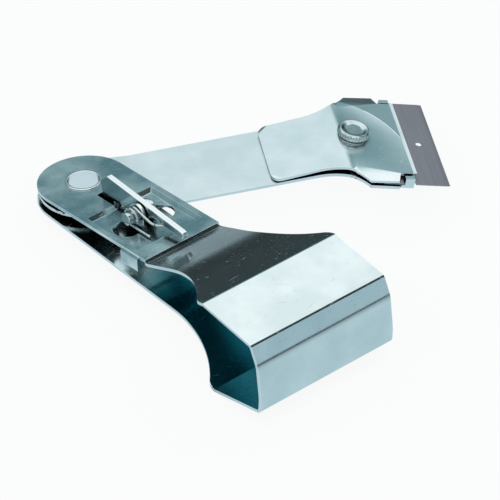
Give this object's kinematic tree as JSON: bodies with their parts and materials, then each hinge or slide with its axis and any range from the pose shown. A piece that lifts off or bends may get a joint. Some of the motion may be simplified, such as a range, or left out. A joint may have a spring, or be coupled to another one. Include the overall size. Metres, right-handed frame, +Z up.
{
  "type": "folding razor blade scraper",
  "caption": "Folding razor blade scraper in plated sheet steel: a blade arm turns on a hollow eyelet into the handle's folded pocket, with a rocking latch and a thumb screw blade clamp.",
  "frame": {"origin": "on the axis of the pivot eyelet, level with the underside of the handle's lower leaf", "axes": "+X along the handle towards the pocket, +Y towards the side the arm swings out of, +Z up along the eyelet's axis"},
  "size_m": [0.1131, 0.1165, 0.0264],
  "materials": {
    "plated_sheet": "bright zinc plated sheet steel with fine drawing scratches",
    "bright_hardware": "bright nickel plated turned and wire parts",
    "blade_steel": "dull ground blade steel"
  },
  "bodies": {
    "handle": {"handle_strip": "plated_sheet", "lock_plate": "plated_sheet", "pivot_eyelet": "plated_sheet", "spacer_bush": "bright_hardware", "thrust_washer": "bright_hardware", "spring_washer": "bright_hardware", "latch_pin": "bright_hardware", "latch_spring": "bright_hardware"},
    "latch": {"latch_lever": "plated_sheet"},
    "arm": {"arm_plate": "plated_sheet", "screw_bush": "bright_hardware", "razor_blade": "blade_steel", "blade_spine": "plated_sheet"},
    "clamp": {"clamp_plate": "plated_sheet", "screw_washer": "bright_hardware"},
    "screw": {"thumb_screw": "bright_hardware"}
  },
  "joints": [
    {"name": "arm_fold", "type": "hinge", "parent": "handle", "child": "arm", "pos_m": [0, 0, 0], "axis": [0, 0, 1], "range_deg": [-60, 120]},
    {"name": "latch_press", "type": "hinge", "parent": "handle", "child": "latch", "pos_m": [0.0255, 0, 0.01053], "axis": [0, 1, 0], "range_deg": [0, 4.5], "stiffness_Nm_per_rad": 0.15, "springref_deg": -20.05, "deforming": ["latch_spring"]},
    {"name": "clamp_lift", "type": "hinge", "parent": "arm", "child": "clamp", "pos_m": [0.02531, 0.04384, 0.00726], "axis": [0.866, -0.5, 0], "range_deg": [0, 3.4]},
    {"name": "screw_turn", "type": "hinge", "parent": "clamp", "child": "screw", "pos_m": [0.03688, 0.06389, 0.00889], "axis": [0.0928, 0.1608, 0.9826], "range_deg": [0, 720]}
  ],
  "couplings": [
    {"joint": "clamp_lift", "follows": "screw_turn", "ratio": 0.00472}
  ]
}
